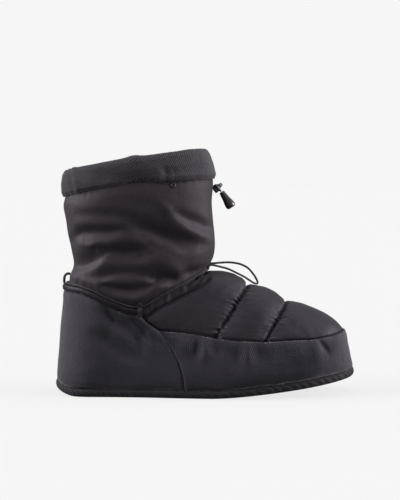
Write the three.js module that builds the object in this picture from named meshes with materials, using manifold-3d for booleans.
// A padded dance warm-up bootie for the right foot, in millimetres, +Z up, toe along +X.
// The outer side of the foot is -Y. While it is built, x = 0 is the back of the heel.
import * as THREE from 'three';
import { mergeVertices } from 'three/addons/utils/BufferGeometryUtils.js';
import Module from 'manifold-3d';

const wasm = await Module();
wasm.setup();

// Driving sizes
const SHOE_LENGTH = 284;
const BALL_WIDTH = 102;
const INSTEP_HEIGHT = 119;
const TOE_SPRING = 16;
const TOE_SPRING_START = 148;
const TOE_SPRING_POWER = 1.45;
const HEEL_SPRING = 5.5;
const HEEL_SPRING_END = 20;
const HEEL_SPRING_POWER = 1.6;
const ANKLE_BACK_HEIGHT = 104;
const ANKLE_FRONT_HEIGHT = 122;
const SHAFT_BACK = 7.6;
const SHAFT_DEPTH = 141;
const SHAFT_WIDTH = 88;
const SHAFT_BACK_HEIGHT = 186;
const SHAFT_FRONT_HEIGHT = 203;
const SHAFT_CROWN = 3.8;
const SHAFT_CROWN_FLATNESS = 0.7;
const CUFF_BACK_HEIGHT = 25;
const CUFF_FRONT_HEIGHT = 29.2;
const CUFF_CROWN = -1.6;
const CUFF_LEAN = 6;
const CUFF_LEAN_START = 0.2;
const UPPER_WALL = 3;
const VAMP_PADDING = 7;
const PANEL_THICKNESS = 1.2;
const CUFF_WALL = 2.6;
const CLEARANCE = 0.3;
const OUTSOLE_THICKNESS = 5;
const BINDING_HEIGHT = 7.6;
const BINDING_WIDTH = 5.2;
const BINDING_LIFT = 0.6;
const BINDING_RIB_PITCH = 9;
const BINDING_RIB_DEPTH = 0.9;
const INSOLE_THICKNESS = 5;
const STRIP_WIDTH = 5.5;
const STRIP_PROUD = 1.3;
const QUILT_DEPTH = 4.5;
const QUILT_REACH = 15;
const BAND_WIDTH = 9;
const BAND_DEPTH = 3;
const QUILT_SLANT = 0.8;
const RAND_SINK = 1.6;
const SHAFT_MIDDLE = 0.46;
const BINDING_HOLD = 0.82;
const CORD_DIAMETER = 2;
const KEEPER_WIDTH = 4;
const KEEPER_THICKNESS = 1.2;
const KEEPER_TOP = 6.5;
const HEEL_LOOP_DIAMETER = 1.8;
const EYELET_RADIUS = 2.4;
const EYELET_HOLE = 1.3;
const EYELET_THICKNESS = 0.9;
const EYELET_ALONG = 112;
const EYELET_RISE = 0.955;
const LOCK_RADIUS = 3.9;
const LOCK_LENGTH = 8.6;
const LOCK_NECK_RADIUS = 2;
const LOCK_BUTTON_RADIUS = 1.7;
const LOCK_BUTTON_LENGTH = 1.5;
const CORD_END_LENGTH = 18.6;
const CORD_END_TOP_RADIUS = 2.7;
const CORD_END_RADIUS = 4.9;
const STRAND_SPACING = 3.2;
const SHAFT_SIDES = 36;
const CORD_GAP_SIDES = 2;
const CORD_SIDES = 8;

// Worked out from them
const SHAFT_FRONT = SHAFT_BACK + SHAFT_DEPTH;
const CORD_RADIUS = CORD_DIAMETER / 2;
const LAP = PANEL_THICKNESS + CLEARANCE;
const WELT_HEIGHT = BINDING_LIFT + BINDING_HEIGHT + CLEARANCE;
const HALF_TURN = Math.PI;

// Cross sections of the foot. foot: where a section stands, share of SHOE_LENGTH. ridge: where its top
// lies, share of SHOE_LENGTH. height: of the ridge, share of INSTEP_HEIGHT. half: half width, share of
// BALL_WIDTH. sway: middle of the section towards the inner side, share of BALL_WIDTH.
// square: 2 is round, 6 is boxy.
const FOOT_SECTIONS = [
  { foot: 0.0, ridge: 0.030, height: 0.99, half: 0.400, sway: 0.000, square: 5.5 },
  { foot: 0.053, ridge: 0.125, height: 0.995, half: 0.400, sway: 0.000, square: 5.5 },
  { foot: 0.106, ridge: 0.230, height: 1.0, half: 0.402, sway: 0.000, square: 5.2 },
  { foot: 0.176, ridge: 0.370, height: 1.0, half: 0.403, sway: -0.005, square: 4.2 },
  { foot: 0.254, ridge: 0.521, height: 1.0, half: 0.408, sway: -0.015, square: 2.9 },
  { foot: 0.335, ridge: 0.590, height: 0.982, half: 0.425, sway: -0.025, square: 2.5 },
  { foot: 0.4155, ridge: 0.648, height: 0.905, half: 0.452, sway: -0.033, square: 2.4 },
  { foot: 0.51, ridge: 0.715, height: 0.832, half: 0.482, sway: -0.035, square: 2.4 },
  { foot: 0.595, ridge: 0.775, height: 0.768, half: 0.499, sway: -0.030, square: 2.45 },
  { foot: 0.70, ridge: 0.838, height: 0.705, half: 0.496, sway: -0.010, square: 2.55 },
  { foot: 0.81, ridge: 0.890, height: 0.648, half: 0.478, sway: 0.015, square: 2.7 },
  { foot: 0.90, ridge: 0.932, height: 0.592, half: 0.462, sway: 0.035, square: 2.9 },
  { foot: 1.0, ridge: 0.972, height: 0.510, half: 0.450, sway: 0.050, square: 3.0 },
];
const HEEL_ROUNDING = 0.125;
const TOE_ROUNDING = 0.225;
const END_SQUARENESS = 2.2;
const QUILT_SEAMS = [0.4155, 0.595];
const SOLE_TUCK = 0.06;
const SOLE_TUCK_REACH = 0.2;

// The collar line that the ankle cord follows. along: share of SHOE_LENGTH. drop: below the straight
// line from the back of the ankle to its front, share of INSTEP_HEIGHT.
const COLLAR_LINE = [
  { along: -0.2, drop: 0.0 },
  { along: 0.03, drop: 0.0 },
  { along: 0.095, drop: 0.040 },
  { along: 0.141, drop: 0.095 },
  { along: 0.190, drop: 0.168 },
  { along: 0.240, drop: 0.228 },
  { along: 0.286, drop: 0.262 },
  { along: 0.352, drop: 0.185 },
  { along: 0.402, drop: 0.138 },
  { along: 0.451, drop: 0.092 },
  { along: 0.485, drop: 0.055 },
  { along: 0.521, drop: 0.0 },
  { along: 0.7, drop: 0.0 },
];

// Where the vamp's quilting meets the rand. along: share of SHOE_LENGTH. height: share of INSTEP_HEIGHT.
const RAND_SEAM = [
  { along: 0.286, height: 0.650 },
  { along: 0.310, height: 0.588 },
  { along: 0.350, height: 0.524 },
  { along: 0.419, height: 0.513 },
  { along: 0.475, height: 0.496 },
  { along: 0.535, height: 0.471 },
  { along: 0.595, height: 0.454 },
  { along: 0.694, height: 0.445 },
  { along: 0.771, height: 0.454 },
  { along: 0.852, height: 0.458 },
  { along: 0.915, height: 0.475 },
  { along: 0.967, height: 0.504 },
  { along: 1.1, height: 0.540 },
];

// The upright seam between counter and rand, from the rand seam down to the sole.
const COUNTER_SEAM = [
  { along: 0.350, height: 0.524 },
  { along: 0.368, height: 0.470 },
  { along: 0.394, height: 0.378 },
  { along: 0.4155, height: 0.277 },
  { along: 0.428, height: 0.176 },
  { along: 0.435, height: 0.0 },
];

// Rings of the shaft. rise: from the collar line at 0 to the cuff at 1. back and front: share of
// SHAFT_DEPTH from SHAFT_BACK. half: half width, share of SHAFT_WIDTH. dip: how far the ring follows
// the collar line down at the side. blunt: squareness of the back half. nose: of the front half.
const SHAFT_RINGS = [
  { rise: -0.03, back: 0.030, front: 0.982, half: 0.412, dip: 1.0, blunt: 2.15, nose: 2.0 },
  { rise: 0.0, back: 0.026, front: 0.984, half: 0.410, dip: 1.0, blunt: 2.15, nose: 2.0 },
  { rise: 0.035, back: 0.034, front: 0.990, half: 0.430, dip: 0.96, blunt: 2.2, nose: 2.0 },
  { rise: 0.10, back: 0.042, front: 1.006, half: 0.468, dip: 0.86, blunt: 2.25, nose: 2.1 },
  { rise: 0.22, back: 0.064, front: 1.018, half: 0.484, dip: 0.60, blunt: 2.3, nose: 2.2 },
  { rise: 0.38, back: 0.050, front: 1.014, half: 0.490, dip: 0.30, blunt: 2.3, nose: 2.3 },
  { rise: 0.55, back: 0.026, front: 1.002, half: 0.498, dip: 0.10, blunt: 2.4, nose: 2.4 },
  { rise: 0.74, back: 0.012, front: 0.996, half: 0.500, dip: 0.0, blunt: 2.4, nose: 2.4 },
  { rise: 0.91, back: 0.000, front: 1.004, half: 0.494, dip: 0.0, blunt: 2.4, nose: 2.4 },
  { rise: 1.0, back: 0.010, front: 1.004, half: 0.474, dip: 0.0, blunt: 2.4, nose: 2.4 },
];

// Profile of the cuff. rise: from its seam at 0 to its hem at 1. out: beyond the shaft's top ring,
// share of CUFF_BACK_HEIGHT.
const CUFF_PROFILE = [
  { rise: -0.36, out: -0.150 },
  { rise: 0.012, out: -0.145 },
  { rise: 0.03, out: 0.050 },
  { rise: 0.20, out: 0.120 },
  { rise: 0.52, out: 0.130 },
  { rise: 0.84, out: 0.070 },
  { rise: 1.0, out: -0.035 },
];

// Profile of the rolled sole binding. out: beyond the upper's edge, share of BINDING_WIDTH.
// height: share of BINDING_HEIGHT. rib: how much of the rib's depth reaches this point.
const BINDING_PROFILE = [
  { out: -BINDING_HOLD, height: 0.0, rib: 0.0 },
  { out: -0.10, height: 0.0, rib: 0.3 },
  { out: 0.16, height: 0.30, rib: 1.0 },
  { out: 0.16, height: 0.68, rib: 1.0 },
  { out: -0.10, height: 1.0, rib: 0.3 },
  { out: -BINDING_HOLD, height: 1.0, rib: 0.0 },
];

// Route of the heel loop: x from the back of the shaft and z from the back of the ankle
const HEEL_LOOP_ROUTE = [
  [5.7, 9.2],
  [2.8, 9.4],
  [0.5, 7.5],
  [-0.25, 4.3],
  [-0.2, 0.05],
];

// Route of the free cord over the instep: x from the front of the shaft, y, and z from the front of
// the ankle
const FRONT_CORD_ROUTE = [
  [-1.4, -10.6, 0.3],
  [2.4, -10, -0.2],
  [5.9, -9.7, -1],
  [12.9, -9, -2.8],
  [17.8, -8, -4.7],
  [23.6, -6, -7.7],
  [30, -2.5, -11.1],
  [34.9, 1, -14.4],
  [39.2, 4.5, -17.4],
  [42.4, 8.5, -18.8],
  [44, 12, -18.2],
  [43, 14, -15],
  [39.9, 14.5, -10],
  [34.9, 14.2, -4.3],
  [28.9, 13.8, -0.9],
  [22.7, 13.3, 0.8],
  [15.9, 12.6, 1.5],
  [8.1, 11.8, 1.2],
  [2.2, 11.2, 0.7],
  [-1.4, 11, 0.5],
];

// Route of the cuff's two strands: x from the front of the shaft and z from the front of the cuff seam
const COLLAR_CORD_ROUTE = [
  [-0.6, -5.8],
  [1.6, -6.4],
  [4.8, -7.8],
  [7.2, -9.9],
  [8.9, -11.4],
];

const UP = new THREE.Vector3(0, 1, 0);
const LOCK_SIDE = 14;
const LOCK_CENTRE = new THREE.Vector3(SHAFT_FRONT + 4.8, LOCK_SIDE, SHAFT_FRONT_HEIGHT - 7.6);
const LOCK_WAY = new THREE.Vector3(0.79, 0, 0.61).normalize();
const LOCK_TURN = new THREE.Quaternion().setFromUnitVectors(UP, LOCK_WAY);
const CORD_END_WAY = new THREE.Vector3(0.553, 0, -0.833).normalize();

const black = (colour, roughness) => new THREE.MeshStandardMaterial({ color: colour, roughness, metalness: 0 });
const SATIN_NYLON = 0x2b2a2d;
const MATTE_TWILL = 0x232224;
const CUFF_CLOTH = 0x2f2f31;
const CORD_BLACK = 0x161617;
const PLASTIC_BLACK = 0x1b1b1c;
const RUBBER_BLACK = 0x1c1c1d;
const LINING_BLACK = 0x252426;

const clamp = THREE.MathUtils.clamp;
const mix = THREE.MathUtils.lerp;

// A smooth value of one column of a table at a place along its key column.
function readTable(table, key, column, at) {
  const last = table.length - 1;
  let row = 0;
  while (row < last - 1 && table[row + 1][key] < at) {
    row += 1;
  }
  const before = table[Math.max(row - 1, 0)];
  const from = table[row];
  const to = table[row + 1];
  const after = table[Math.min(row + 2, last)];
  const span = to[key] - from[key];
  const t = clamp((at - from[key]) / span, 0, 1);
  const slopeFrom = ((to[column] - before[column]) / (to[key] - before[key])) * span;
  const slopeTo = ((after[column] - from[column]) / (after[key] - from[key])) * span;
  const t2 = t * t;
  const t3 = t2 * t;
  return (
    (2 * t3 - 3 * t2 + 1) * from[column] +
    (t3 - 2 * t2 + t) * slopeFrom +
    (3 * t2 - 2 * t3) * to[column] +
    (t3 - t2) * slopeTo
  );
}

// A straight-line value of one column of a table.
function readStraight(table, key, column, at) {
  const last = table.length - 1;
  let row = 0;
  while (row < last - 1 && table[row + 1][key] < at) {
    row += 1;
  }
  const from = table[row];
  const to = table[row + 1];
  const t = clamp((at - from[key]) / (to[key] - from[key]), 0, 1);
  return mix(from[column], to[column], t);
}

// Height of the underside of the sole above the floor.
function soleRise(x) {
  const share = clamp((x - TOE_SPRING_START) / (SHOE_LENGTH - TOE_SPRING_START), 0, 1);
  const heel = clamp((HEEL_SPRING_END - x) / HEEL_SPRING_END, 0, 1);
  return TOE_SPRING * share ** TOE_SPRING_POWER + HEEL_SPRING * heel ** HEEL_SPRING_POWER;
}

function collarHeight(x) {
  const share = clamp((x - SHAFT_BACK) / SHAFT_DEPTH, 0, 1);
  const drop = readStraight(COLLAR_LINE, 'along', 'drop', x / SHOE_LENGTH) * INSTEP_HEIGHT;
  return mix(ANKLE_BACK_HEIGHT, ANKLE_FRONT_HEIGHT, share) - drop;
}

function randSeamHeight(x) {
  return readStraight(RAND_SEAM, 'along', 'height', x / SHOE_LENGTH) * INSTEP_HEIGHT;
}

// Top edge of the panel cloth: under the collar strip at the heel, then the rand seam.
function panelTop(x) {
  const start = RAND_SEAM[0].along * SHOE_LENGTH;
  return x < start ? Math.min(collarHeight(x) - STRIP_WIDTH, collarHeight(start) - STRIP_WIDTH
    + (start - x)) : Math.min(randSeamHeight(x), collarHeight(x) - STRIP_WIDTH);
}

// Width factor that rounds the plan off at heel and toe.
function endRounding(along) {
  const heel = clamp((HEEL_ROUNDING - along) / HEEL_ROUNDING, 0, 1);
  const toe = clamp((along - 1 + TOE_ROUNDING) / TOE_ROUNDING, 0, 1);
  return Math.max(1 - Math.max(heel, toe) ** END_SQUARENESS, 0) ** (1 / END_SQUARENESS);
}

// One section: its standing point, its ridge, its half width, sway and squareness.
function footSection(along) {
  const ridge = readTable(FOOT_SECTIONS, 'foot', 'ridge', along) * SHOE_LENGTH;
  const height = readTable(FOOT_SECTIONS, 'foot', 'height', along) * INSTEP_HEIGHT;
  return {
    x: along * SHOE_LENGTH,
    z: soleRise(along * SHOE_LENGTH) + WELT_HEIGHT,
    ridgeX: ridge,
    ridgeZ: height,
    half: readTable(FOOT_SECTIONS, 'foot', 'half', along) * BALL_WIDTH * endRounding(along),
    sway: readTable(FOOT_SECTIONS, 'foot', 'sway', along) * BALL_WIDTH,
    square: readTable(FOOT_SECTIONS, 'foot', 'square', along),
  };
}

// A point of the foot's skin: side is -1 outside and 1 inside, share runs from welt to ridge.
function skinPoint(section, side, share) {
  const rounded = (1 - share ** section.square) ** (1 / section.square);
  const tuck = 1 - SOLE_TUCK * clamp(1 - share / SOLE_TUCK_REACH, 0, 1) ** 2;
  return new THREE.Vector3(
    mix(section.x, section.ridgeX, share),
    section.sway + side * section.half * rounded * tuck,
    mix(section.z, section.ridgeZ, share),
  );
}

// How far up a section the panel cloth reaches.
function panelShare(section) {
  let low = 0;
  let high = 1;
  for (let step = 0; step < 30; step += 1) {
    const share = (low + high) / 2;
    const x = mix(section.x, section.ridgeX, share);
    const z = mix(section.z, section.ridgeZ, share);
    if (z < panelTop(x)) {
      low = share;
    } else {
      high = share;
    }
  }
  return low;
}

// Stations along the foot, dense at the rounded ends and with one on each quilting seam.
function footStations() {
  const stations = [];
  const endSteps = 5;
  for (let step = 0; step < endSteps; step += 1) {
    stations.push(HEEL_ROUNDING * (1 - Math.cos((step / endSteps) * HALF_TURN / 2)));
  }
  const marks = [HEEL_ROUNDING, ...QUILT_SEAMS, 1 - TOE_ROUNDING];
  const steps = [5, 5, 4];
  for (let span = 0; span < steps.length; span += 1) {
    for (let step = 0; step < steps[span]; step += 1) {
      stations.push(mix(marks[span], marks[span + 1], step / steps[span]));
    }
  }
  for (let step = 0; step <= endSteps; step += 1) {
    stations.push(1 - TOE_ROUNDING * (1 - Math.sin((step / endSteps) * HALF_TURN / 2)));
  }
  return stations;
}

const STATIONS = footStations();
const LOWER_ROWS = [0, 0.12, 0.4, 0.72, 1];
const UPPER_ROWS = [0.08, 0.2, 0.38, 0.58, 0.79, 1];

// Shares of the rows of one section, from the welt over the panel's edge to the ridge.
function rowShares(section) {
  const edge = panelShare(section);
  const lower = LOWER_ROWS.map((row) => row * edge);
  const edgeAngle = Math.asin(edge ** (section.square / 2));
  const upper = UPPER_ROWS.map((row) => {
    const angle = mix(edgeAngle, HALF_TURN / 2, row);
    return Math.sin(angle) ** (2 / section.square);
  });
  return [...lower, ...upper];
}

// Outward direction of the skin, from neighbouring points of the same function.
function skinNormal(along, side, share) {
  const step = 0.004;
  const before = Math.max(along - step, 0);
  const after = Math.min(along + step, 1);
  const level = Math.min(share, 0.985);
  const across = skinPoint(footSection(after), side, level).sub(skinPoint(footSection(before), side, level));
  const section = footSection(along);
  const upwards = skinPoint(section, side, Math.min(share + step, 1))
    .sub(skinPoint(section, side, Math.max(share - step, 0)));
  if (along <= 0 || along >= 1) {
    across.set(0, along <= 0 ? side : -side, 0);
  }
  const normal = across.cross(upwards).multiplyScalar(-side);
  if (share > 0.999) {
    normal.y = 0;
  }
  return normal.normalize();
}

// Depth of the quilting below the puffs at a point of the vamp.
function quiltDepth(section, along, point) {
  let depth = 0;
  for (const seam of QUILT_SEAMS) {
    const distance = Math.abs(section.ridgeX - footSection(seam).ridgeX) * QUILT_SLANT;
    depth = Math.max(depth, QUILT_DEPTH * clamp(1 - distance / QUILT_REACH, 0, 1) ** 2);
  }
  const aboveRand = Math.max(point.z - randSeamHeight(point.x), 0);
  depth = Math.max(depth, LAP * RAND_SINK * clamp(1 - aboveRand / QUILT_REACH, 0, 1) ** 2);
  const belowBand = collarHeight(point.x) - BAND_WIDTH - point.z;
  if (along < QUILT_SEAMS[0]) {
    depth = Math.max(depth, BAND_DEPTH * clamp(1 - belowBand / QUILT_REACH, 0, 1) ** 2);
  }
  return depth;
}

// Rings of the foot's skin sunk by a depth that is worked out for each point.
function footRings(depthOf, bottomDrop) {
  const sections = STATIONS.map((along) => footSection(along));
  const shares = sections.map((section) => rowShares(section));
  const rings = [];
  for (let row = 0; row < LOWER_ROWS.length + UPPER_ROWS.length; row += 1) {
    const ring = [];
    const addPoint = (index, side) => {
      const share = shares[index][row];
      const point = skinPoint(sections[index], side, share);
      const inPanel = row < LOWER_ROWS.length;
      const depth = depthOf(sections[index], STATIONS[index], point, inPanel);
      point.addScaledVector(skinNormal(STATIONS[index], side, share), -depth);
      if (row === 0) {
        point.z = sections[index].z;
      }
      ring.push(point);
    };
    for (let index = 0; index < STATIONS.length; index += 1) {
      addPoint(index, -1);
    }
    for (let index = STATIONS.length - 2; index > 0; index -= 1) {
      addPoint(index, 1);
    }
    rings.push(ring);
  }
  if (bottomDrop > 0) {
    rings.unshift(rings[0].map((point) => point.clone().setZ(point.z - bottomDrop)));
  }
  return rings;
}

// A closed geometry from points and triangles, without doubled points or flat triangles.
function closedGeometry(points, triangles) {
  const loose = new THREE.BufferGeometry();
  loose.setAttribute('position', new THREE.Float32BufferAttribute(points.flatMap((p) => [p.x, p.y, p.z]), 3));
  loose.setIndex(triangles.flat());
  const merged = mergeVertices(loose, 1e-3);
  const index = merged.getIndex().array;
  const kept = [];
  for (let corner = 0; corner < index.length; corner += 3) {
    const [a, b, c] = index.slice(corner, corner + 3);
    if (a !== b && b !== c && c !== a) {
      kept.push(a, b, c);
    }
  }
  merged.setIndex(kept);
  return merged;
}

// Skin of a stack of rings. Rings run anticlockwise seen from above, from the lowest to the highest.
function ringSkin(rings, joinsUp) {
  const around = rings[0].length;
  const triangles = [];
  const levels = joinsUp ? rings.length : rings.length - 1;
  for (let level = 0; level < levels; level += 1) {
    const above = (level + 1) % rings.length;
    for (let place = 0; place < around; place += 1) {
      const next = (place + 1) % around;
      const a = level * around + place;
      const b = level * around + next;
      const c = above * around + next;
      const d = above * around + place;
      triangles.push([a, b, c], [a, c, d]);
    }
  }
  return triangles;
}

// A flat lid across one ring, in strips from one side to the other.
function ringLid(start, around, facesUp) {
  const triangles = [];
  for (let place = 0; place < around / 2; place += 1) {
    const a = start + place;
    const b = start + place + 1;
    const c = start + ((around - place - 1) % around);
    const d = start + ((around - place) % around);
    const pair = facesUp ? [[a, b, c], [a, c, d]] : [[a, c, b], [a, d, c]];
    triangles.push(...pair);
  }
  return triangles;
}

function stackGeometry(rings) {
  const around = rings[0].length;
  const triangles = ringSkin(rings, false);
  triangles.push(...ringLid(0, around, false));
  triangles.push(...ringLid((rings.length - 1) * around, around, true));
  return closedGeometry(rings.flat(), triangles);
}

function loopGeometry(rings) {
  return closedGeometry(rings.flat(), ringSkin(rings, true));
}

function toSolid(geometry) {
  const bare = geometry.clone();
  bare.deleteAttribute('normal');
  bare.deleteAttribute('uv');
  const merged = mergeVertices(bare, 1e-4);
  return new wasm.Manifold(new wasm.Mesh({
    numProp: 3,
    vertProperties: new Float32Array(merged.getAttribute('position').array),
    triVerts: new Uint32Array(merged.getIndex().array),
  }));
}

function toGeometry(solid) {
  const mesh = solid.getMesh();
  const geometry = new THREE.BufferGeometry();
  geometry.setAttribute('position', new THREE.Float32BufferAttribute(mesh.vertProperties, 3));
  geometry.setIndex(Array.from(mesh.triVerts));
  return geometry;
}

// A prism across the whole width, from an outline drawn in the side view.
function sidePrism(outline) {
  const shape = new THREE.Shape(outline.map(([x, z]) => new THREE.Vector2(x, z)));
  const width = BALL_WIDTH * 2;
  const geometry = new THREE.ExtrudeGeometry(shape, { depth: width, bevelEnabled: false, steps: 1 });
  geometry.rotateX(HALF_TURN / 2);
  geometry.translate(0, width / 2, 0);
  return toSolid(geometry);
}

// Points of the collar line, raised by a height, from its back to its front.
function collarOutline(raise) {
  const inner = COLLAR_LINE.slice(1, -1).map((row) => row.along * SHOE_LENGTH);
  return [-SHOE_LENGTH * 0.1, ...inner].map((x) => [x, collarHeight(x) + raise]);
}

function aboveCollar(raise) {
  const line = collarOutline(raise);
  const top = SHAFT_FRONT_HEIGHT;
  const front = line[line.length - 1][0];
  return sidePrism([...line, [front, top], [-SHOE_LENGTH * 0.1, top]]);
}

// One ring of the shaft at a rise between the collar line and the cuff seam.
function shaftRing(rise, inset, drop) {
  const read = (column) => readTable(SHAFT_RINGS, 'rise', column, rise);
  const back = SHAFT_BACK + read('back') * SHAFT_DEPTH + inset;
  const front = SHAFT_BACK + read('front') * SHAFT_DEPTH - inset;
  const half = read('half') * SHAFT_WIDTH - inset;
  const middle = mix(back, front, SHAFT_MIDDLE);
  const ring = [];
  for (let place = 0; place < SHAFT_SIDES; place += 1) {
    const angle = (place / SHAFT_SIDES) * HALF_TURN * 2;
    const isBack = Math.cos(angle) > 0;
    const square = isBack ? read('blunt') : read('nose');
    const reach = isBack ? middle - back : front - middle;
    const x = middle - Math.sign(Math.cos(angle)) * Math.abs(Math.cos(angle)) ** (2 / square) * reach;
    const y = -Math.sign(Math.sin(angle)) * Math.abs(Math.sin(angle)) ** (2 / square) * half;
    const z = shaftHeight(x, rise, read('dip')) - drop;
    ring.push(new THREE.Vector3(x, y, z));
  }
  return ring;
}

// Height on the shaft: straight from back to front, less what a ring dips with the collar line.
function shaftHeight(x, rise, dip) {
  const share = clamp((x - SHAFT_BACK) / SHAFT_DEPTH, 0, 1);
  const straightCollar = mix(ANKLE_BACK_HEIGHT, ANKLE_FRONT_HEIGHT, share);
  const crown = SHAFT_CROWN * Math.sin(share * HALF_TURN) ** SHAFT_CROWN_FLATNESS;
  const top = mix(SHAFT_BACK_HEIGHT, SHAFT_FRONT_HEIGHT, share) + crown * clamp(rise, 0, 1);
  const low = collarHeight(x);
  return mix(straightCollar, top, rise) - dip * (straightCollar - low);
}

function shaftRings(inset, deeper, higher) {
  const rings = SHAFT_RINGS.map((row) => shaftRing(row.rise, inset, 0));
  rings[0].forEach((point) => { point.z -= deeper; });
  rings[rings.length - 1].forEach((point) => { point.z += higher; });
  return rings;
}

// The ankle cord's path in its groove, from the front round the heel to the front again.
function ankleCordPath() {
  const ring = shaftRing(0, -(CORD_RADIUS + CLEARANCE), 0);
  const lift = CORD_RADIUS + CLEARANCE;
  const half = SHAFT_SIDES / 2 - CORD_GAP_SIDES;
  const path = [];
  for (let step = half; step >= -half; step -= 1) {
    const point = ring[(step + SHAFT_SIDES) % SHAFT_SIDES].clone();
    point.z += lift;
    path.push(point);
  }
  return new THREE.CatmullRomCurve3(path);
}

// A round bar of the given radius along a curve, as an extruded section.
function roundBar(curve, radius, sides, steps) {
  const section = new THREE.Shape();
  for (let side = 0; side < sides; side += 1) {
    const angle = (side / sides) * HALF_TURN * 2;
    const x = Math.cos(angle) * radius;
    const y = Math.sin(angle) * radius;
    if (side === 0) {
      section.moveTo(x, y);
    } else {
      section.lineTo(x, y);
    }
  }
  return new THREE.ExtrudeGeometry(section, { extrudePath: curve, steps, bevelEnabled: false });
}

// The foot's skin between two depths, open underneath.
function skinShell(outerDepth, innerDepth) {
  const outer = toSolid(stackGeometry(footRings(() => outerDepth, 0)));
  const inner = toSolid(stackGeometry(footRings(() => innerDepth, WELT_HEIGHT)));
  return outer.subtract(inner);
}

function makeUpper() {
  const outerDepth = (section, along, point, inPanel) => {
    const front = point.x > RAND_SEAM[0].along * SHOE_LENGTH;
    return inPanel || !front ? LAP : quiltDepth(section, along, point);
  };
  const innerDepth = (section, along, point, inPanel) => (inPanel ? LAP + UPPER_WALL : VAMP_PADDING);
  const foot = toSolid(stackGeometry(footRings(outerDepth, 0))).subtract(aboveCollar(0));
  const footInside = toSolid(stackGeometry(footRings(innerDepth, WELT_HEIGHT)))
    .subtract(aboveCollar(-UPPER_WALL));
  const shaft = toSolid(stackGeometry(shaftRings(0, 0, 0)));
  const shaftInside = toSolid(stackGeometry(shaftRings(UPPER_WALL, UPPER_WALL * 2, UPPER_WALL)));
  const held = ankleCordPath();
  const channel = toSolid(roundBar(held, CORD_RADIUS + CLEARANCE, CORD_SIDES, 40));
  const mouths = toSolid(roundBar(frontCordPath(held), CORD_RADIUS + CLEARANCE, CORD_SIDES, 24));
  const shell = foot.add(shaft).subtract(footInside).subtract(shaftInside);
  return toGeometry(shell.subtract(channel).subtract(mouths));
}

function makeCounter() {
  const low = [-SHOE_LENGTH * 0.1, -WELT_HEIGHT];
  const seam = COUNTER_SEAM.map((row) => [
    row.along * SHOE_LENGTH - CLEARANCE / 2,
    row.height * INSTEP_HEIGHT,
  ]);
  const end = RAND_SEAM[0].along * SHOE_LENGTH;
  const top = collarOutline(-STRIP_WIDTH - CLEARANCE).filter(([x]) => x <= end);
  const outline = [low, [seam[seam.length - 1][0], low[1]], ...seam.reverse(),
    [end + BAND_DEPTH, randSeamHeight(end + BAND_DEPTH) - CLEARANCE], ...top.reverse()];
  return toGeometry(skinShell(0, PANEL_THICKNESS).intersect(sidePrism(outline)));
}

function makeRand() {
  const seam = COUNTER_SEAM.map((row) => [
    row.along * SHOE_LENGTH + CLEARANCE / 2,
    row.height * INSTEP_HEIGHT - CLEARANCE,
  ]);
  const front = SHOE_LENGTH * 1.1;
  const top = RAND_SEAM.slice(3).map((row) => [
    row.along * SHOE_LENGTH,
    row.height * INSTEP_HEIGHT - CLEARANCE,
  ]);
  const outline = [[seam[seam.length - 1][0], -WELT_HEIGHT], [front, -WELT_HEIGHT],
    ...top.reverse(), ...seam];
  return toGeometry(skinShell(0, PANEL_THICKNESS).intersect(sidePrism(outline)));
}

function makeCollarStrip() {
  const end = RAND_SEAM[0].along * SHOE_LENGTH;
  const low = collarOutline(-STRIP_WIDTH).filter(([x]) => x <= end);
  const high = collarOutline(-CLEARANCE).filter(([x]) => x <= end);
  const shell = skinShell(-STRIP_PROUD, PANEL_THICKNESS);
  return toGeometry(shell.intersect(sidePrism([...low, ...high.reverse()])));
}

// Outline of the upper's lower edge in plan, moved out by a distance.
function soleOutline(out) {
  const count = STATIONS.length;
  const plain = [];
  for (let index = 0; index < count; index += 1) {
    const section = footSection(STATIONS[index]);
    plain.push(skinPoint(section, -1, 0));
  }
  for (let index = count - 2; index > 0; index -= 1) {
    plain.push(skinPoint(footSection(STATIONS[index]), 1, 0));
  }
  return plain.map((point, place) => {
    const before = plain[(place + plain.length - 1) % plain.length];
    const after = plain[(place + 1) % plain.length];
    const along = after.clone().sub(before).setZ(0).normalize();
    return new THREE.Vector3(point.x + along.y * out, point.y - along.x * out, 0);
  });
}

// A slab with the sole's outline and toe spring. Levels are pairs of height and outline distance.
function soleSlab(levels) {
  return stackGeometry(levels.map(([height, out]) => soleOutline(out).map((point) => (
    new THREE.Vector3(point.x, point.y, soleRise(point.x) + height)
  ))));
}

function makeOutsole() {
  const edge = -BINDING_WIDTH * BINDING_HOLD - CLEARANCE;
  const bevel = OUTSOLE_THICKNESS * 0.2;
  return soleSlab([
    [0, edge - bevel],
    [bevel, edge],
    [OUTSOLE_THICKNESS, edge],
  ]);
}

function makeInsole() {
  const edge = -LAP - UPPER_WALL - CLEARANCE * 2;
  const low = OUTSOLE_THICKNESS + CLEARANCE;
  return soleSlab([
    [low, edge],
    [low + INSOLE_THICKNESS * 0.8, edge - CLEARANCE],
    [low + INSOLE_THICKNESS, edge - INSOLE_THICKNESS * 0.3],
  ]);
}

// The rolled binding round the sole, with a rib at every pitch.
function makeBinding() {
  const loop = new THREE.CatmullRomCurve3(soleOutline(0), true, 'catmullrom', 0.5);
  const ribs = Math.round(loop.getLength() / BINDING_RIB_PITCH);
  const places = ribs * 2;
  const rings = BINDING_PROFILE.map(() => []);
  for (let place = 0; place < places; place += 1) {
    const share = place / places;
    const point = loop.getPointAt(share);
    const along = loop.getTangentAt(share);
    const rib = place % 2 === 0 ? 0 : -BINDING_RIB_DEPTH;
    BINDING_PROFILE.forEach((row, level) => {
      const out = row.out * BINDING_WIDTH + rib * row.rib;
      const x = point.x + along.y * out;
      const y = point.y - along.x * out;
      const z = soleRise(x) + BINDING_LIFT + row.height * BINDING_HEIGHT;
      rings[level].push(new THREE.Vector3(x, y, z));
    });
  }
  return loopGeometry(rings);
}

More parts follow.
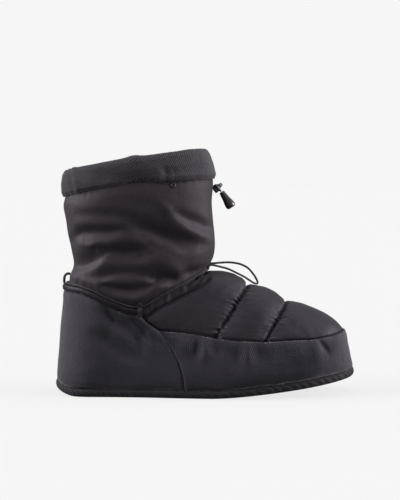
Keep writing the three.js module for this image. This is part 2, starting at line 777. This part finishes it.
function cuffRing(rise, inset) {
  const ring = shaftRing(1, inset, 0);
  return ring.map((point) => {
    const share = clamp((point.x - SHAFT_BACK) / SHAFT_DEPTH, 0, 1);
    const height = mix(CUFF_BACK_HEIGHT, CUFF_FRONT_HEIGHT, share);
    const crown = CUFF_CROWN * Math.sin(share * HALF_TURN) * clamp(rise, 0, 1);
    const lean = CUFF_LEAN * share ** 3 * clamp((rise - CUFF_LEAN_START) / (1 - CUFF_LEAN_START), 0, 1);
    return point.set(point.x - lean, point.y, point.z + height * rise + crown);
  });
}

function makeCuff() {
  const outer = CUFF_PROFILE.map((row) => cuffRing(row.rise, -row.out * CUFF_BACK_HEIGHT));
  const hemDrop = CUFF_WALL / CUFF_BACK_HEIGHT;
  const inner = CUFF_PROFILE.slice(0, -1).reverse().filter((row) => row.rise < 0.9).map((row) => (
    cuffRing(Math.min(row.rise, 1 - hemDrop), -row.out * CUFF_BACK_HEIGHT + CUFF_WALL)
  ));
  const hem = cuffRing(1, -CUFF_PROFILE[CUFF_PROFILE.length - 1].out * CUFF_BACK_HEIGHT + CUFF_WALL * 0.5);
  return loopGeometry([...outer, hem, ...inner]);
}

// Shaft skin at the side: the ring point nearest to a place along the shoe, on side -1 or 1.
function shaftSide(x, rise, side) {
  const ring = shaftRing(rise, 0, 0).filter((point) => point.y * side > 0);
  ring.sort((a, b) => Math.abs(a.x - x) - Math.abs(b.x - x));
  const [first, second] = ring;
  const t = (x - first.x) / (second.x - first.x);
  return first.clone().lerp(second, t);
}

// Outer skin of the foot at the side: its distance from the middle plane at a place in the side view.
function skinSide(x, z, side) {
  let low = 0;
  let high = 1;
  for (let step = 0; step < 30; step += 1) {
    const along = (low + high) / 2;
    const section = footSection(along);
    const share = (z - section.z) / (section.ridgeZ - section.z);
    if (mix(section.x, section.ridgeX, share) < x) {
      low = along;
    } else {
      high = along;
    }
  }
  const section = footSection(low);
  return skinPoint(section, side, (z - section.z) / (section.ridgeZ - section.z)).y * side;
}

// A tape loop over the ankle cord at the side, drawn in the section across the shoe.
function makeKeeper(side) {
  const x = RAND_SEAM[0].along * SHOE_LENGTH;
  const groove = shaftSide(x, 0, side);
  const overCord = Math.abs(groove.y) + CORD_DIAMETER + CLEARANCE * 3;
  const overStrip = skinSide(x, groove.z - STRIP_WIDTH / 2, side) + STRIP_PROUD + CLEARANCE;
  const inner = [
    [overCord + CLEARANCE * 2, groove.z + KEEPER_TOP],
    [overCord, groove.z + CORD_DIAMETER],
    [overStrip, groove.z - CLEARANCE],
    [overStrip + CLEARANCE, groove.z - STRIP_WIDTH - KEEPER_THICKNESS],
  ];
  const outer = inner.map(([y, z]) => [y + KEEPER_THICKNESS, z]).reverse();
  const shape = new THREE.Shape([...inner, ...outer].map(([y, z]) => new THREE.Vector2(y * side, z)));
  const geometry = new THREE.ExtrudeGeometry(shape, { depth: KEEPER_WIDTH, bevelEnabled: false });
  geometry.rotateX(HALF_TURN / 2);
  geometry.rotateZ(HALF_TURN / 2);
  geometry.translate(x - KEEPER_WIDTH / 2, 0, 0);
  return geometry;
}

// The small cord loop that carries the ankle cord behind the heel.
function makeHeelLoop() {
  const points = HEEL_LOOP_ROUTE.map(([x, z]) => (
    new THREE.Vector3(SHAFT_BACK + x, 0, ANKLE_BACK_HEIGHT + z)
  ));
  return roundBar(new THREE.CatmullRomCurve3(points), HEEL_LOOP_DIAMETER / 2, CORD_SIDES, 9);
}

// The free loop of the ankle cord that lies over the instep, from one end of the held cord to the other.
function frontCordPath(held) {
  const lead = CORD_DIAMETER;
  const start = held.getPointAt(0);
  const startWay = held.getTangentAt(0).negate();
  const end = held.getPointAt(1);
  const endWay = held.getTangentAt(1);
  const route = FRONT_CORD_ROUTE.map(([x, y, z]) => (
    new THREE.Vector3(SHAFT_FRONT + x, y, ANKLE_FRONT_HEIGHT + z)
  ));
  return new THREE.CatmullRomCurve3([
    start.clone().addScaledVector(startWay, CLEARANCE),
    start.clone().addScaledVector(startWay, lead),
    ...route,
    end.clone().addScaledVector(endWay, lead),
    end.clone().addScaledVector(endWay, CLEARANCE),
  ]);
}

// A turned solid round its own axis, from pairs of radius and height.
function turned(profile, sides) {
  return new THREE.LatheGeometry(profile.map(([radius, height]) => new THREE.Vector2(radius, height)), sides);
}

function makeEyelet() {
  const half = EYELET_THICKNESS / 2;
  const crown = (EYELET_RADIUS + EYELET_HOLE) / 2;
  return turned([
    [EYELET_HOLE, -half],
    [EYELET_RADIUS, -half],
    [EYELET_RADIUS, 0],
    [crown, half],
    [EYELET_HOLE, 0],
    [EYELET_HOLE, -half],
  ], 16);
}

function makeLockBody() {
  const half = LOCK_LENGTH / 2;
  const edge = LOCK_RADIUS * 0.86;
  const barrel = turned([
    [0, -half],
    [edge, -half],
    [LOCK_RADIUS, -half * 0.8],
    [LOCK_RADIUS, half * 0.1],
    [edge, half * 0.3],
    [LOCK_NECK_RADIUS, half * 0.6],
    [LOCK_NECK_RADIUS, half],
    [0, half],
  ], 12);
  barrel.applyQuaternion(LOCK_TURN);
  barrel.translate(LOCK_CENTRE.x, LOCK_CENTRE.y, LOCK_CENTRE.z);
  let body = toSolid(barrel);
  for (const side of [-1, 1]) {
    body = body.subtract(toSolid(roundBar(collarCordPath(side), CORD_RADIUS + CLEARANCE, CORD_SIDES, 6)));
  }
  return toGeometry(body);
}

function makeLockButton() {
  return turned([
    [0, 0],
    [LOCK_BUTTON_RADIUS, 0],
    [LOCK_BUTTON_RADIUS, LOCK_BUTTON_LENGTH * 0.75],
    [LOCK_BUTTON_RADIUS * 0.7, LOCK_BUTTON_LENGTH],
    [0, LOCK_BUTTON_LENGTH],
  ], 16);
}

function makeCordEnd() {
  return turned([
    [0, -CORD_END_LENGTH],
    [CORD_END_RADIUS * 0.55, -CORD_END_LENGTH * 0.985],
    [CORD_END_RADIUS * 0.88, -CORD_END_LENGTH * 0.93],
    [CORD_END_RADIUS, -CORD_END_LENGTH * 0.83],
    [CORD_END_RADIUS * 0.94, -CORD_END_LENGTH * 0.68],
    [CORD_END_TOP_RADIUS, -CORD_END_LENGTH * 0.06],
    [CORD_END_TOP_RADIUS * 0.85, 0],
    [0, 0],
  ], 16);
}

// One of the two strands that leave the cuff's casing and pass through the lock to the cord end.
function collarCordPath(side) {
  const offset = LOCK_SIDE + (side * STRAND_SPACING) / 2;
  const points = COLLAR_CORD_ROUTE.map(([x, z]) => (
    new THREE.Vector3(SHAFT_FRONT + x, offset, SHAFT_FRONT_HEIGHT + z)
  ));
  return new THREE.CatmullRomCurve3(points);
}

const shoe = new THREE.Group();

function add(name, geometry, colour, roughness) {
  const mesh = new THREE.Mesh(geometry, black(colour, roughness));
  mesh.name = name;
  shoe.add(mesh);
  return mesh;
}

const heldCord = ankleCordPath();
add('upper', makeUpper(), SATIN_NYLON, 0.45);
add('outsole', makeOutsole(), RUBBER_BLACK, 0.9);
add('insole', makeInsole(), LINING_BLACK, 0.95);
add('heel_counter', makeCounter(), MATTE_TWILL, 0.8);
add('toe_rand', makeRand(), MATTE_TWILL, 0.8);
add('collar_strip', makeCollarStrip(), SATIN_NYLON, 0.6);
add('sole_binding', makeBinding(), SATIN_NYLON, 0.7);
add('cuff', makeCuff(), CUFF_CLOTH, 0.8);
add('outer_keeper', makeKeeper(-1), SATIN_NYLON, 0.7);
add('inner_keeper', makeKeeper(1), SATIN_NYLON, 0.7);
add('heel_loop', makeHeelLoop(), CORD_BLACK, 0.7);
add('ankle_cord', roundBar(heldCord, CORD_RADIUS, CORD_SIDES, 40), CORD_BLACK, 0.7);

const eyelet = add('eyelet', makeEyelet(), PLASTIC_BLACK, 0.35);
const eyeletSeat = shaftSide(EYELET_ALONG, EYELET_RISE, -1);
const eyeletNext = shaftSide(EYELET_ALONG + EYELET_RADIUS, EYELET_RISE, -1);
const eyeletBelow = shaftSide(EYELET_ALONG, EYELET_RISE - 0.02, -1);
const eyeletFacing = eyeletNext.sub(eyeletSeat).cross(eyeletSeat.clone().sub(eyeletBelow)).normalize();
eyelet.position.copy(eyeletSeat).addScaledVector(eyeletFacing, EYELET_THICKNESS / 2 + CLEARANCE * 2);
eyelet.quaternion.setFromUnitVectors(UP, eyeletFacing);

// What hangs free at the front
const lockButton = add('cord_lock_button', makeLockButton(), PLASTIC_BLACK, 0.35);
const cordEnd = add('cord_end', makeCordEnd(), PLASTIC_BLACK, 0.2);
const hanging = [
  add('front_cord', roundBar(frontCordPath(heldCord), CORD_RADIUS, CORD_SIDES, 24), CORD_BLACK, 0.7),
  add('outer_collar_cord', roundBar(collarCordPath(-1), CORD_RADIUS, CORD_SIDES, 6), CORD_BLACK, 0.7),
  add('inner_collar_cord', roundBar(collarCordPath(1), CORD_RADIUS, CORD_SIDES, 6), CORD_BLACK, 0.7),
  add('cord_lock', makeLockBody(), PLASTIC_BLACK, 0.4),
  lockButton,
  cordEnd,
];
lockButton.position.copy(LOCK_CENTRE).addScaledVector(LOCK_WAY, LOCK_LENGTH / 2 + CLEARANCE);
lockButton.quaternion.copy(LOCK_TURN);
const cordOut = collarCordPath(0).getPointAt(1);
cordEnd.position.copy(cordOut).addScaledVector(CORD_END_WAY, CLEARANCE);
cordEnd.quaternion.setFromUnitVectors(UP, CORD_END_WAY.clone().negate());

// The origin is under the middle of the shoe, where it stands
const box = new THREE.Box3();
for (const mesh of shoe.children) {
  if (!hanging.includes(mesh)) {
    box.expandByObject(mesh);
  }
}
const centre = box.getCenter(new THREE.Vector3());
shoe.position.set(-centre.x, -centre.y, -box.min.z);

export default shoe;
